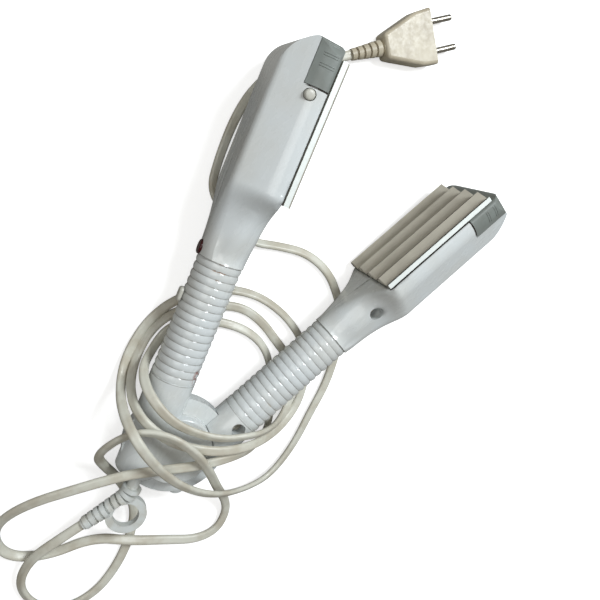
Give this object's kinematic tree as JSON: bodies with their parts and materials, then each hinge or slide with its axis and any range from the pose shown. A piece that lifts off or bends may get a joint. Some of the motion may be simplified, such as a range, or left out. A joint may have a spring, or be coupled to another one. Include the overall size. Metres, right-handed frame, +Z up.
{
  "type": "hair crimper",
  "caption": "Hair crimper with ribbed handles sprung open on a stepped hinge drum, wide heads with slide-out corrugated plates, and a wound mains lead ending in a moulded two-pin plug.",
  "frame": {"origin": "middle of the box round the tool without its lead, on the floor that it lies on", "axes": "+X from the hinge out along the line half way between the arms, +Y towards the fixed arm, +Z up off the floor; the tool lies on its side, hinge low and heads raised by 5.2 degrees"},
  "size_m": [0.4655, 0.178, 0.0672],
  "materials": {
    "white_plastic": "glossy moulded, faintly warm and scuffed",
    "grey_plastic": "satin grey",
    "cream_plastic": "satin",
    "coated_plate": "satin, stove-coated",
    "heater": "plain",
    "insulation": "matt",
    "cutout": "matt",
    "spring_steel": "plain",
    "lead_insulation": "matt",
    "black_plastic": "matt",
    "red_lens": "glossy, unlit",
    "lamp_glass": "clear",
    "relief_plastic": "satin, flexible",
    "cord": "satin, flexible",
    "plug": "satin",
    "pins": "plain"
  },
  "bodies": {
    "fixed_arm": {"fixed_arm_upper_casing": "white_plastic", "fixed_arm_lower_casing": "white_plastic", "fixed_arm_heater": "heater", "fixed_arm_heater_bed": "insulation", "fixed_arm_thermal_cutout": "cutout", "fixed_arm_button_spring": "spring_steel", "fixed_arm_screws": "spring_steel", "fixed_arm_leads": "lead_insulation", "power_switch": "black_plastic", "lamp_lens": "red_lens", "neon_lamp": "lamp_glass", "strain_relief": "relief_plastic", "mains_cord": "cord", "plug_body": "plug", "plug_pins": "pins", "hinge_pin": "spring_steel", "opening_spring": "spring_steel"},
    "moving_arm": {"moving_arm_lower_casing": "white_plastic", "moving_arm_upper_casing": "white_plastic", "moving_arm_heater": "heater", "moving_arm_heater_bed": "insulation", "moving_arm_thermal_cutout": "cutout", "moving_arm_button_spring": "spring_steel", "moving_arm_screws": "spring_steel", "moving_arm_leads": "lead_insulation"},
    "fixed_plate_cartridge": {"fixed_arm_crimp_plate": "coated_plate", "fixed_arm_plate_carrier": "grey_plastic"},
    "moving_plate_cartridge": {"moving_arm_crimp_plate": "coated_plate", "moving_arm_plate_carrier": "grey_plastic"},
    "fixed_button": {"fixed_arm_release_button": "cream_plastic"},
    "moving_button": {"moving_arm_release_button": "cream_plastic"},
    "switch": {"switch_slider": "white_plastic"}
  },
  "joints": [
    {"name": "arm_hinge", "type": "hinge", "parent": "fixed_arm", "child": "moving_arm", "pos_m": [-0.08758, 0, 0.016], "axis": [-0.0904, 0, 0.9959], "range_deg": [0, 28.3], "stiffness_Nm_per_rad": 0.15, "springref_deg": -34.38, "deforming": ["opening_spring"]},
    {"name": "fixed_cartridge_slide", "type": "slide", "parent": "fixed_arm", "child": "fixed_plate_cartridge", "axis": [0.9657, 0.2445, 0.0876], "range_m": [0, 0.09]},
    {"name": "moving_cartridge_slide", "type": "slide", "parent": "moving_arm", "child": "moving_plate_cartridge", "axis": [0.9657, -0.2445, 0.0876], "range_m": [0, 0.09]},
    {"name": "fixed_release", "type": "slide", "parent": "fixed_arm", "child": "fixed_button", "axis": [0.0904, 0, -0.9959], "range_m": [0, 0.0015], "stiffness_N_per_m": 800, "springref_m": -0.0015, "deforming": ["fixed_arm_button_spring"]},
    {"name": "moving_release", "type": "slide", "parent": "moving_arm", "child": "moving_button", "axis": [-0.0904, 0, 0.9959], "range_m": [0, 0.0015], "stiffness_N_per_m": 800, "springref_m": -0.0015, "deforming": ["moving_arm_button_spring"]},
    {"name": "switch_slide", "type": "slide", "parent": "fixed_arm", "child": "switch", "axis": [0.9657, 0.2445, 0.0876], "range_m": [0, 0.004]}
  ]
}
